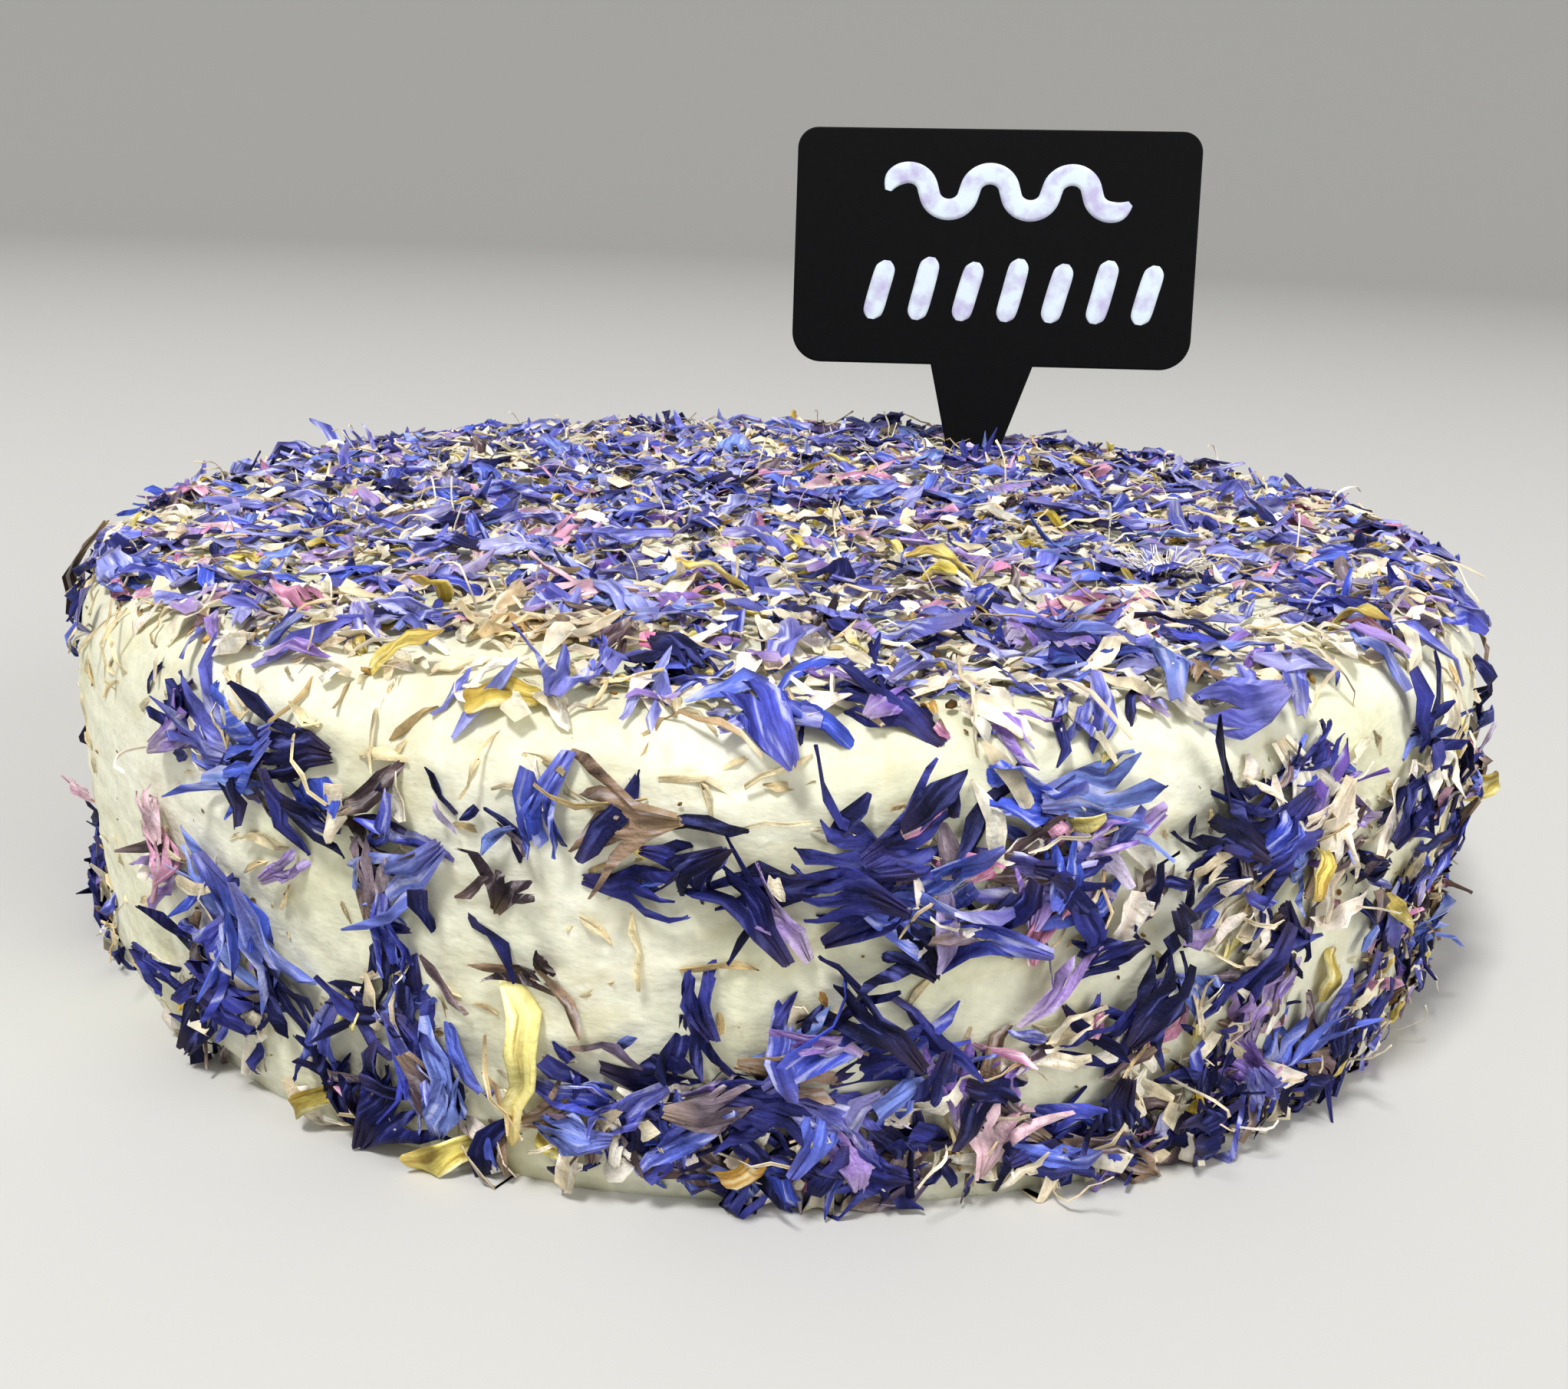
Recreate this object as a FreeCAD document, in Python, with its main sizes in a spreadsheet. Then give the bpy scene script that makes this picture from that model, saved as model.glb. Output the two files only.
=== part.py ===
import FreeCAD, Part
import math
import os
import Sketcher

# A wheel of cashew cheese with a label pick stuck in its top.
#
# The wheel is paste pressed in a hoop: a low round block with a flat top, a rounded
# shoulder, a wall that swells a little and a bottom edge that tucks in. The pick is
# one flat piece of plastic, a plate with rounded corners over a tapered spike. It
# leans back a little, and the wheel has a slot where the spike has gone in.
#
# Frame: millimetres, +Z up, the origin at the middle of the wheel's base, on the
# surface that it stands on. -Y is the front, the side that the label is read from.

SIZES = (
    # the wheel
    ("wheel_diameter", 207.0),   # at the wall's widest, half way up
    ("wheel_height", 56.0),
    ("wall_swell", 0.9),         # how far the wall bows out between base and top
    ("rim_radius", 8.0),         # shoulder between the wall and the top
    ("foot_radius", 4.0),        # bottom edge
    # the label pick
    ("plate_width", 79.0),
    ("plate_height", 45.5),
    ("plate_thickness", 2.0),
    ("plate_shift", 1.3),        # the plate's middle, to the right of the spike's
    ("top_corner", 4.0),         # radius of the plate's upper corners
    ("low_corner", 5.8),         # radius of its lower corners
    ("spike_length", 32.0),      # from the plate's lower edge to the tip
    ("spike_width", 20.3),       # where the spike leaves the plate
    ("tip_width", 1.6),
    ("tip_shift", -1.8),         # the tip's middle, to the right of the spike's
    ("pick_bevel", 0.35),        # rounding along the edges of both faces
    # where the pick stands
    ("pick_inset", 23.4),        # from the wall's widest to the middle of the spike
    ("pick_bearing", 61.0),      # degrees round from +X towards +Y
    ("spike_depth", 14.0),       # how far along the pick the tip lies below the wheel's top
    ("pick_turn", -5.0),         # degrees about the vertical
    ("pick_tilt", -1.4),         # degrees clockwise, seen from the front
    ("pick_lean", -9.5),         # degrees forward, so that minus leans back
    ("slot_gap", 0.1),           # room between the spike and the paste, all round
)

# Sketcher's numbers for a sketch's own origin and for the two ends of a line.
ORIGIN = (-1, 1)
START = 1
END = 2

doc = FreeCAD.newDocument("cashew_cheese")
sheet = doc.addObject("Spreadsheet::Sheet", "sizes")
for row, (alias, number) in enumerate(SIZES, start=1):
    sheet.set("A%d" % row, alias)
    sheet.set("B%d" % row, str(number))
    sheet.setAlias("B%d" % row, alias)
doc.recompute()


def new_sketch(body, name):
    """An empty sketch on the body's own XZ plane: across is X, up is Z."""
    plane = next(f for f in body.Origin.OriginFeatures if f.Role == "XZ_Plane")
    sketch = body.newObject("Sketcher::SketchObject", name)
    sketch.AttachmentSupport = [(plane, "")]
    sketch.MapMode = "FlatFace"
    return sketch


def hold(sketch, kind, *places_and_size):
    """Add a constraint on places; its size, the last argument, is an expression."""
    *places, size = places_and_size
    value = sketch.evalExpression(size)
    number = sketch.addConstraint(Sketcher.Constraint(kind, *places, value))
    sketch.setExpression("Constraints[%d]" % number, size)


def join(sketch, line, after):
    """Tie the end of one line to the start of another."""
    sketch.addConstraint(Sketcher.Constraint("Coincident", line, END, after, START))


def add_chain(sketch, corners):
    """Draw lines from corner to corner, each an (across, up) pair of expressions."""
    points = [FreeCAD.Vector(*map(sketch.evalExpression, corner)) for corner in corners]
    for start, end in zip(points, points[1:]):
        sketch.addGeometry(Part.LineSegment(start, end), False)
    last = len(corners) - 2
    for line in range(last):
        join(sketch, line, line + 1)
    ends = [(line, START) for line in range(last + 1)] + [(last, END)]
    for place, (across, up) in zip(ends, corners):
        hold(sketch, "DistanceX", *ORIGIN, *place, across)
        hold(sketch, "DistanceY", *ORIGIN, *place, up)
    return last


def round_edges(body, name, radius, wanted):
    """Fillet those edges of the body's last feature whose middle passes the test."""
    base = body.Tip
    names = []
    for number, edge in enumerate(base.Shape.Edges, start=1):
        middle = edge.valueAt((edge.FirstParameter + edge.LastParameter) / 2)
        if wanted(middle):
            names.append("Edge%d" % number)
    fillet = body.newObject("PartDesign::Fillet", name)
    fillet.Base = (base, names)
    fillet.setExpression("Radius", radius)
    doc.recompute()


# ------------------------------------------------------------------- the wheel
# Half of the wheel's section is turned about the vertical. Going round from the axis
# it is the base, the foot's arc, the wall's long arc, the rim's arc and the top.
WALL_ARC = "(sizes.wheel_height ^ 2 / 4 + sizes.wall_swell ^ 2) / (2 * sizes.wall_swell)"
MIDDLE = 3                       # Sketcher's number for an arc's centre


def add_arc(sketch, middle, radius, first, last):
    """Draw an arc about a middle point, between two angles in degrees."""
    circle = Part.Circle(middle, FreeCAD.Vector(0, 0, 1), radius)
    arc = Part.ArcOfCircle(circle, math.radians(first), math.radians(last))
    return sketch.addGeometry(arc, False)


wheel = doc.addObject("PartDesign::Body", "wheel")
section = new_sketch(wheel, "wheel_section")
side = sheet.wheel_diameter / 2
tall = sheet.wheel_height
rim = sheet.rim_radius
foot = sheet.foot_radius
wall_arc = section.evalExpression(WALL_ARC)
flank = math.degrees(math.asin(tall / 2 / wall_arc))
on_base = FreeCAD.Vector(side - foot, 0)
on_top = FreeCAD.Vector(side - rim, tall)
base_line = section.addGeometry(Part.LineSegment(FreeCAD.Vector(0, 0), on_base), False)
foot_arc = add_arc(section, FreeCAD.Vector(side - foot, foot), foot, -90, 0)
wall = add_arc(section, FreeCAD.Vector(side - wall_arc, tall / 2), wall_arc, -flank, flank)
rim_arc = add_arc(section, FreeCAD.Vector(side - rim, tall - rim), rim, 0, 90)
top_line = section.addGeometry(Part.LineSegment(on_top, FreeCAD.Vector(0, tall)), False)
axis_line = section.addGeometry(
    Part.LineSegment(FreeCAD.Vector(0, tall), FreeCAD.Vector(0, 0)), False)
round_the_side = (base_line, foot_arc, wall, rim_arc, top_line)
for piece, after in zip(round_the_side, round_the_side[1:]):
    section.addConstraint(Sketcher.Constraint("Tangent", piece, END, after, START))
join(section, top_line, axis_line)
join(section, axis_line, base_line)
section.addConstraint(Sketcher.Constraint("Coincident", *ORIGIN, base_line, START))
section.addConstraint(Sketcher.Constraint("Horizontal", base_line))
section.addConstraint(Sketcher.Constraint("Horizontal", top_line))
section.addConstraint(Sketcher.Constraint("Vertical", axis_line))
hold(section, "DistanceY", *ORIGIN, axis_line, START, "sizes.wheel_height")
hold(section, "Radius", foot_arc, "sizes.foot_radius")
hold(section, "Radius", wall, WALL_ARC)
hold(section, "Radius", rim_arc, "sizes.rim_radius")
hold(section, "DistanceX", *ORIGIN, wall, MIDDLE, "sizes.wheel_diameter / 2 - " + WALL_ARC)
hold(section, "DistanceY", *ORIGIN, wall, MIDDLE, "sizes.wheel_height / 2")

turned = wheel.newObject("PartDesign::Revolution", "wheel_turned")
turned.Profile = section
turned.ReferenceAxis = (section, ["V_Axis"])
turned.Angle = 360
doc.recompute()

# --------------------------------------------------------------- the label pick
# The pick's own frame has X across it, Z along it and its origin on the middle of
# the spike, at the level of the wheel's top. The slot is sketched in the same frame.
PICK_REACH = "(sizes.wheel_diameter / 2 - sizes.pick_inset)"
PICK_SPOT = (
    "create(<<vector>>; " + PICK_REACH + " * cos(sizes.pick_bearing); "
    + PICK_REACH + " * sin(sizes.pick_bearing); sizes.wheel_height)"
)
PICK_TURN = "create(<<rotation>>; sizes.pick_turn; sizes.pick_tilt; sizes.pick_lean)"
PICK_PLACE = "create(<<placement>>; " + PICK_SPOT + "; " + PICK_TURN + ")"
PLATE_FOOT = "sizes.spike_length - sizes.spike_depth"
PLATE_HEAD = PLATE_FOOT + " + sizes.plate_height"
PLATE_LEFT = "sizes.plate_shift - sizes.plate_width / 2"
PLATE_RIGHT = "sizes.plate_shift + sizes.plate_width / 2"


def spike_corners(gap):
    """The spike's upper left, lower left, lower right and upper right, grown by a gap."""
    tip = "-sizes.spike_depth - " + gap
    return (
        ("-sizes.spike_width / 2 - " + gap, PLATE_FOOT),
        ("sizes.tip_shift - sizes.tip_width / 2 - " + gap, tip),
        ("sizes.tip_shift + sizes.tip_width / 2 + " + gap, tip),
        ("sizes.spike_width / 2 + " + gap, PLATE_FOOT),
    )


def flat_body(name, corners, thickness):
    """A flat body in the pick's frame: a closed outline, as thick to front as to back."""
    body = doc.addObject("PartDesign::Body", name)
    outline = new_sketch(body, name + "_outline")
    last = add_chain(outline, corners)
    closing = outline.addGeometry(
        Part.LineSegment(outline.Geometry[last].EndPoint, outline.Geometry[0].StartPoint), False)
    join(outline, last, closing)
    join(outline, closing, 0)
    pad = body.newObject("PartDesign::Pad", name + "_pad")
    pad.Profile = outline
    pad.SideType = "Symmetric"
    pad.setExpression("Length", thickness)
    doc.recompute()
    return body


pick = flat_body("label_pick", spike_corners("0") + (
    (PLATE_RIGHT, PLATE_FOOT),
    (PLATE_RIGHT, PLATE_HEAD),
    (PLATE_LEFT, PLATE_HEAD),
    (PLATE_LEFT, PLATE_FOOT),
), "sizes.plate_thickness")

plate_foot = sheet.spike_length - sheet.spike_depth
plate_head = plate_foot + sheet.plate_height
NEAR = 0.01


def at_plate_side(point):
    """Whether a point is on the plate's left or right edge."""
    from_middle = abs(point.x - sheet.plate_shift)
    return abs(from_middle - sheet.plate_width / 2) < NEAR


round_edges(pick, "top_corners", "sizes.top_corner",
            lambda p: at_plate_side(p) and abs(p.z - plate_head) < NEAR)
round_edges(pick, "low_corners", "sizes.low_corner",
            lambda p: at_plate_side(p) and abs(p.z - plate_foot) < NEAR)
round_edges(pick, "pick_edges", "sizes.pick_bevel",
            lambda p: abs(abs(p.y) - sheet.plate_thickness / 2) < NEAR)
pick.setExpression("Placement", PICK_PLACE)

# The slot's tool is the spike alone, a gap larger all round.
slot = flat_body("spike_slot", spike_corners("sizes.slot_gap"),
                 "sizes.plate_thickness + 2 * sizes.slot_gap")
slot.setExpression("Placement", PICK_PLACE)

cheese = doc.addObject("Part::Cut", "cheese_wheel")
cheese.Base = wheel
cheese.Tool = slot
doc.recompute()

# ------------------------------------------------------- checks, and the two nodes
NODES = (cheese, pick)

for item in doc.Objects:
    if "Invalid" in item.State or "Error" in item.State:
        raise RuntimeError("%s is %s" % (item.Name, item.State))
for node in NODES:
    shape = node.Shape
    if shape.isNull() or not shape.isValid() or len(shape.Solids) != 1:
        raise RuntimeError("%s is not one valid solid" % node.Label)
os.makedirs("parts", exist_ok=True)
for node in NODES:
    node.Shape.exportStep("parts/%s.step" % node.Label)
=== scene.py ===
import math

import bmesh
import bpy
import numpy as np
from mathutils import Matrix, Vector
from mathutils.bvhtree import BVHTree
from numpy.random import default_rng


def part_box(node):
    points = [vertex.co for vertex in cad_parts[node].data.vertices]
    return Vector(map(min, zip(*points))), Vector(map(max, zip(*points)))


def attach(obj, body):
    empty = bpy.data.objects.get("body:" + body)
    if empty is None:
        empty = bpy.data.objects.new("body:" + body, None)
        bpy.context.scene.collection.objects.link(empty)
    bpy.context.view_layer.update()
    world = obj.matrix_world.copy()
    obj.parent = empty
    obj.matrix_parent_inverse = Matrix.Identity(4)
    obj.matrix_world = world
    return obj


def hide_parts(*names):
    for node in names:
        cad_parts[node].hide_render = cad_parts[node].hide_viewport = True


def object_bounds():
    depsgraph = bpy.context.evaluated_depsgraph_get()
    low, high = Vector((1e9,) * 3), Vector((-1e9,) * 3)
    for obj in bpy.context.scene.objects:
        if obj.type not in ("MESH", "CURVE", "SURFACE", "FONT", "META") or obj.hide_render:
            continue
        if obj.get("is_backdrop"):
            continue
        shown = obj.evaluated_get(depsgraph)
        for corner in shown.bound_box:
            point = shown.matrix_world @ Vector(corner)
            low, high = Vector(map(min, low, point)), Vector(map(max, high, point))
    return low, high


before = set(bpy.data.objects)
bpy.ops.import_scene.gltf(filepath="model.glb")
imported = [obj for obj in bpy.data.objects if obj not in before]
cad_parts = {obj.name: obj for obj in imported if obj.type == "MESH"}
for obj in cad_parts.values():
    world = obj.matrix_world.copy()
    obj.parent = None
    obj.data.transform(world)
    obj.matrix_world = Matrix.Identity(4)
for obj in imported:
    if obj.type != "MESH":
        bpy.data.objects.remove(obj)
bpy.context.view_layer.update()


# ---- The table and the light ----
# The wheel stands on a plain pale table, whose far edge curves up all round into a backdrop. A soft lamp
# hangs to the front left, as a window would, a weak one fills the right, and the room lights it evenly.

MM = 0.001
FULL_TURN = 2 * math.pi
TABLE_REACH = 2.5
SWEEP_ROUND = 1.6
SWEEP_STEPS = 10
EYE = (0, -250.3 * MM, 105.8 * MM)
AIM = (1.5 * MM, 0, 26.1 * MM)
HEAD_TILT = math.radians(2.45)
LENS_LENGTH = 36.4
ROOM_LIGHT = 0.42


def pigment(red, green, blue):
    """A colour mixed from 0 to 255, as on a paint chart, in a shader's light values."""
    chart = np.array([red, green, blue]) / 255
    light = np.where(chart > 0.04045, ((chart + 0.055) / 1.055) ** 2.4, chart / 12.92)
    return (*light.tolist(), 1)


def new_finish(name, roughness):
    """A material of one roughness, its node tree and its shader."""
    finish = bpy.data.materials.new(name)
    finish.use_nodes = True
    shader = finish.node_tree.nodes["Principled BSDF"]
    shader.inputs["Roughness"].default_value = roughness
    return finish, finish.node_tree, shader


def feed(tree, socket, value):
    """Give an input of a node a link, or else a value of its own."""
    if isinstance(value, bpy.types.NodeSocket):
        tree.links.new(value, socket)
    else:
        socket.default_value = value


def add_node(tree, kind, *values, **settings):
    """A node with its settings and named inputs, and with values or links for its inputs in turn."""
    node = tree.nodes.new("ShaderNode" + kind)
    for key, value in settings.items():
        if key in node.inputs:
            feed(tree, node.inputs[key], value)
        else:
            setattr(node, key, value)
    for number, value in enumerate(values):
        feed(tree, node.inputs[number], value)
    return node


def edit_all():
    """Open the active mesh for editing, with all of it selected."""
    bpy.ops.object.mode_set(mode="EDIT")
    bpy.ops.mesh.select_all(action="SELECT")


def choose(test):
    """Select the vertices of the mesh being edited whose place passes the test."""
    shape = bmesh.from_edit_mesh(bpy.context.object.data)
    for vertex in shape.verts:
        vertex.select = bool(test(vertex.co))
    shape.select_flush_mode()
    bmesh.update_edit_mesh(bpy.context.object.data)


def hang_lamp(name, place, power, size):
    """A square lamp that looks at the wheel."""
    bpy.ops.object.light_add(type="AREA", location=place)
    lamp = bpy.context.object
    lamp.name = name
    lamp.data.energy = power
    lamp.data.size = size
    lamp.rotation_euler = (Vector(AIM) - Vector(place)).to_track_quat("-Z", "Y").to_euler()


bpy.context.scene.view_settings.view_transform = "Standard"
bpy.ops.object.select_all(action="DESELECT")

bpy.ops.mesh.primitive_circle_add(vertices=96, radius=TABLE_REACH)
table = bpy.context.object
table.name = "table"
edit_all()
reached = TABLE_REACH
for step in range(SWEEP_STEPS):
    before, after = (number * math.pi / 2 / SWEEP_STEPS for number in (step, step + 1))
    wider = TABLE_REACH + SWEEP_ROUND * math.sin(after)
    lift = SWEEP_ROUND * (math.cos(before) - math.cos(after))
    bpy.ops.mesh.extrude_region_move(TRANSFORM_OT_translate={"value": (0, 0, lift)})
    bpy.ops.transform.resize(value=(wider / reached, wider / reached, 1), center_override=(0, 0, 0))
    reached = wider
choose(lambda place: place.z < MM)
bpy.ops.mesh.edge_face_add()
bpy.ops.mesh.select_all(action="SELECT")
bpy.ops.mesh.normals_make_consistent(inside=True)
bpy.ops.object.mode_set(mode="OBJECT")
bpy.ops.object.shade_smooth_by_angle(angle=math.radians(30))
table_finish, table_tree, table_shader = new_finish("pale_table", 0.85)
table_shader.inputs["Base Color"].default_value = pigment(208, 207, 203)
table.data.materials.append(table_finish)
table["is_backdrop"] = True

hang_lamp("key_lamp", place=(-0.6, -1, 2.3), power=50, size=0.45)
hang_lamp("fill_lamp", place=(1.7, -1.2, 1), power=21, size=1.2)

room = bpy.data.worlds.new("room")
bpy.context.scene.world = room
room.use_nodes = True
room_tree = room.node_tree
room_back = room_tree.nodes["Background"]
seen = add_node(room_tree, "LightPath")
backdrop = add_node(room_tree, "Background", Color=pigment(236, 236, 234))
room_back.inputs["Color"].default_value = (1, 1, 1, 1)
room_back.inputs["Strength"].default_value = ROOM_LIGHT
room_parts = (seen.outputs["Is Camera Ray"], room_back.outputs[0], backdrop.outputs[0])
pick_room = add_node(room_tree, "MixShader", *room_parts)
room_tree.links.new(pick_room.outputs[0], room_tree.nodes["World Output"].inputs["Surface"])

bpy.ops.object.camera_add(location=EYE)
camera = bpy.context.object
camera.data.lens = LENS_LENGTH
camera.data.clip_start = 0.01
camera.rotation_euler = (Vector(AIM) - Vector(EYE)).to_track_quat("-Z", "Y").to_euler()
camera.rotation_euler.rotate_axis("Z", HEAD_TILT)
bpy.context.scene.camera = camera


# ---- The wheel of cheese ----
# One block of cashew paste, pressed in a ring, turned out and smoothed over with a wet knife. The knife
# leaves low swells and drag marks, air leaves small pits, and the nuts' skins show as brown specks.

SKIN_CELL = 0.95 * MM
RIM_ROUND = 8 * MM
FOOT_ROUND = 4 * MM
FOOT_CUT = 1.6 * MM
WALL_SWELL = 0.9 * MM
TOP_LEAN = math.radians(0.7)
wheel_low, wheel_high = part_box("cheese_wheel")
RADIUS = (wheel_high.x - wheel_low.x) / 2
HEIGHT = wheel_high.z
NEAR = 0.1 * MM


def bake_in(kind, **settings):
    """Give the active piece a modifier and apply it at once."""
    modifier = bpy.context.object.modifiers.new(kind.lower(), kind)
    for key, value in settings.items():
        setattr(modifier, key, value)
    bpy.ops.object.modifier_apply(modifier=modifier.name)


def raise_clouds(name, size, depth, height, **settings):
    """Give the active piece a relief of clouds, by their size and fineness and its full height."""
    clouds = bpy.data.textures.new(name, "CLOUDS")
    clouds.noise_scale = size
    clouds.noise_depth = depth
    clouds.noise_basis = "IMPROVED_PERLIN"
    bake_in("DISPLACE", texture=clouds, strength=height, mid_level=0.5, **settings)


def noise(tree, place, scale, detail, **settings):
    """How strong a cloudy noise is at a place."""
    return add_node(tree, "TexNoise", Vector=place, Scale=scale, Detail=detail, **settings).outputs["Fac"]


def stretch(tree, value, low, high, bottom=0, top=1):
    """A value with its range from low to high stretched over bottom to top, and held there beyond."""
    ends = {"From Min": low, "From Max": high, "To Min": bottom, "To Max": top}
    return add_node(tree, "MapRange", Value=value, **ends).outputs["Result"]


def tint(tree, value, stops):
    """The colour that a value has on a scale of places and colours."""
    scale = add_node(tree, "ValToRGB", Fac=value)
    marks = scale.color_ramp.elements
    for number, (place, colour) in enumerate(stops):
        mark = marks[number] if number < 2 else marks.new(place)
        mark.position = place
        mark.color = pigment(*colour)
    return scale.outputs["Color"]


def blend(tree, share, under, over):
    """One colour laid over another by a share."""
    return add_node(tree, "Mix", data_type="RGBA", Factor=share, A=under, B=over).outputs["Result"]


def reckon(tree, operation, *values, **settings):
    """The result of a sum on vectors."""
    return add_node(tree, "VectorMath", *values, operation=operation, **settings).outputs[0]


def emboss(tree, height, strength, depth, **under):
    """A fine relief from a height, on top of another one where Normal names it."""
    return add_node(tree, "Bump", Height=height, Strength=strength, Distance=depth, **under).outputs[0]


bpy.ops.object.select_all(action="DESELECT")
bpy.ops.mesh.primitive_cylinder_add(
    vertices=120, radius=RADIUS - WALL_SWELL, depth=HEIGHT, location=(0, 0, HEIGHT / 2)
)
wheel = bpy.context.object
wheel.name = "cheese_paste"
bpy.ops.object.transform_apply()
edit_all()
for share in (0.2, 0.35, 0.5, 0.65, 0.8):
    bpy.ops.mesh.select_all(action="SELECT")
    bpy.ops.mesh.bisect(plane_co=(0, 0, share * HEIGHT), plane_no=(0, 0, 1))
    choose(lambda place: abs(place.z - share * HEIGHT) < NEAR)
    widen = 1 + WALL_SWELL / RADIUS * math.sin(math.pi * share)
    bpy.ops.transform.resize(value=(widen, widen, 1), center_override=(0, 0, 0))
choose(lambda place: place.z > HEIGHT - NEAR)
bpy.ops.mesh.bevel(offset=RIM_ROUND, segments=7, affect="EDGES")
choose(lambda place: place.z < NEAR)
bpy.ops.mesh.bevel(offset=FOOT_ROUND, segments=4, affect="EDGES")
choose(lambda place: place.z > 0.72 * HEIGHT)
bpy.ops.transform.rotate(value=TOP_LEAN, orient_axis="Y", center_override=(0, 0, 0.86 * HEIGHT))
bpy.ops.object.mode_set(mode="OBJECT")
bake_in("REMESH", mode="VOXEL", voxel_size=SKIN_CELL)

knife_frame = bpy.data.objects.new("knife_frame", None)
knife_frame.scale = (1, 1, 0.3)
bpy.context.collection.objects.link(knife_frame)
bpy.context.view_layer.update()
raise_clouds("swells", 35 * MM, 1, 1.8 * MM)
raise_clouds(
    "knife_marks", 11 * MM, 2, 1.15 * MM, texture_coords="OBJECT", texture_coords_object=knife_frame
)
raise_clouds("lumps", 4.2 * MM, 2, 0.65 * MM)
bpy.data.objects.remove(knife_frame)

edit_all()
bpy.ops.mesh.bisect(
    plane_co=(0, 0, FOOT_CUT), plane_no=(0, 0, 1), clear_inner=True, use_fill=True, threshold=0.001 * MM
)
choose(lambda place: place.z < FOOT_CUT + 0.002 * MM)
bpy.ops.mesh.extrude_region_move(TRANSFORM_OT_translate={"value": (0, 0, -FOOT_CUT)})
bpy.ops.mesh.select_all(action="SELECT")
bpy.ops.mesh.normals_make_consistent(inside=False)
bpy.ops.object.mode_set(mode="OBJECT")
bpy.ops.object.shade_smooth()

paste, tree, shader = new_finish("cashew_paste", 0.62)
spot = add_node(tree, "TexCoord").outputs["Object"]
mottle = noise(tree, spot, 42, 5)
cream = tint(tree, mottle, [(0.32, (232, 231, 196)), (0.62, (248, 247, 226))])
dapple = stretch(tree, noise(tree, spot, 620, 6), 0.35, 0.65, 0.93, 1.05)
shaded = reckon(tree, "SCALE", cream, Scale=dapple)
stains = stretch(tree, noise(tree, spot, 85, 7, Distortion=1.4), 0.52, 0.72, top=0.42)
stained = blend(tree, stains, shaded, pigment(211, 201, 148))
specks = add_node(tree, "TexVoronoi", Vector=spot, Scale=170)
speck_mask = stretch(tree, specks.outputs["Distance"], 0.035, 0.075, 1, 0)
speck_chance = add_node(tree, "SeparateColor", Color=specks.outputs["Color"]).outputs["Red"]
rare = add_node(tree, "Math", speck_chance, 0.72, operation="GREATER_THAN").outputs[0]
speck_part = add_node(tree, "Math", speck_mask, rare, operation="MULTIPLY").outputs[0]
speckled = blend(tree, speck_part, stained, pigment(104, 88, 52))
tree.links.new(speckled, shader.inputs["Base Color"])
pores = add_node(tree, "TexVoronoi", Vector=spot, Scale=480).outputs["Distance"]
pore_relief = emboss(tree, stretch(tree, pores, 0, 0.22), 0.5, 0.12 * MM)
drawn_up = add_node(tree, "Mapping", Vector=spot, Scale=(1, 1, 1.8)).outputs[0]
smears = noise(tree, drawn_up, 150, 6)
paste_relief = emboss(tree, smears, 0.55, 1.3 * MM, Normal=pore_relief)
tree.links.new(paste_relief, shader.inputs["Normal"])
shader.inputs["Subsurface Weight"].default_value = 0.15
shader.inputs["Subsurface Radius"].default_value = (1, 0.8, 0.5)
shader.inputs["Subsurface Scale"].default_value = 2 * MM
wheel.data.materials.append(paste)
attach(wheel, "root")
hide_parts("cheese_wheel")


# ---- The skin's own map ----
# Petals are laid along the wheel's skin: out from the middle of the top, over the rim and down the side.
# The true skin is uneven, so its height over the plain shape is felt out once, every millimetre or so.

SIDE = HEIGHT - RIM_ROUND - FOOT_ROUND
FLAT = RADIUS - RIM_ROUND
RIM_END = FLAT + RIM_ROUND * math.pi / 2
FOOT_START = RIM_END + SIDE
SKIN_END = FOOT_START + FOOT_ROUND * math.pi / 2
FEEL_STEP = 1.2 * MM
FEEL_TURNS = 300


def plain_skin(along, bearing):
    """Points and outward directions of the plain wheel, a way along from the middle of its top."""
    along, bearing = np.broadcast_arrays(along, bearing)
    turn = np.clip((along - FLAT) / RIM_ROUND, 0, math.pi / 2)
    tuck = np.clip((along - FOOT_START) / FOOT_ROUND, 0, math.pi / 2)
    drop = np.clip(along - RIM_END, 0, SIDE)
    reach = np.minimum(along, FLAT) + RIM_ROUND * np.sin(turn) - FOOT_ROUND * (1 - np.cos(tuck))
    level = HEIGHT - RIM_ROUND * (1 - np.cos(turn)) - drop - FOOT_ROUND * np.sin(tuck)
    reach = reach - WALL_SWELL * np.sin(turn) * (1 - np.sin(math.pi * np.clip(level / HEIGHT, 0, 1)))
    out = np.sin(turn) * np.cos(tuck)
    up = np.cos(turn) - np.sin(tuck)
    points = np.stack([reach * np.cos(bearing), reach * np.sin(bearing), level], axis=-1)
    ways = np.stack([out * np.cos(bearing), out * np.sin(bearing), up], axis=-1)
    return points, ways


feel_along = np.arange(0, SKIN_END, FEEL_STEP)
feel_bearing = np.arange(FEEL_TURNS) * FULL_TURN / FEEL_TURNS
feel_points, feel_ways = plain_skin(feel_along[:, None], feel_bearing[None, :])
felt = BVHTree.FromObject(wheel, bpy.context.evaluated_depsgraph_get())
skin_rise = np.zeros(feel_points.shape[:2])
FEELER = 6 * MM
for row in range(len(feel_along)):
    for column in range(FEEL_TURNS):
        way = Vector(feel_ways[row, column])
        start = Vector(feel_points[row, column]) + way * FEELER
        hit = felt.ray_cast(start, -way, 2 * FEELER)
        if hit[0] is not None:
            skin_rise[row, column] = FEELER - hit[3]


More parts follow.
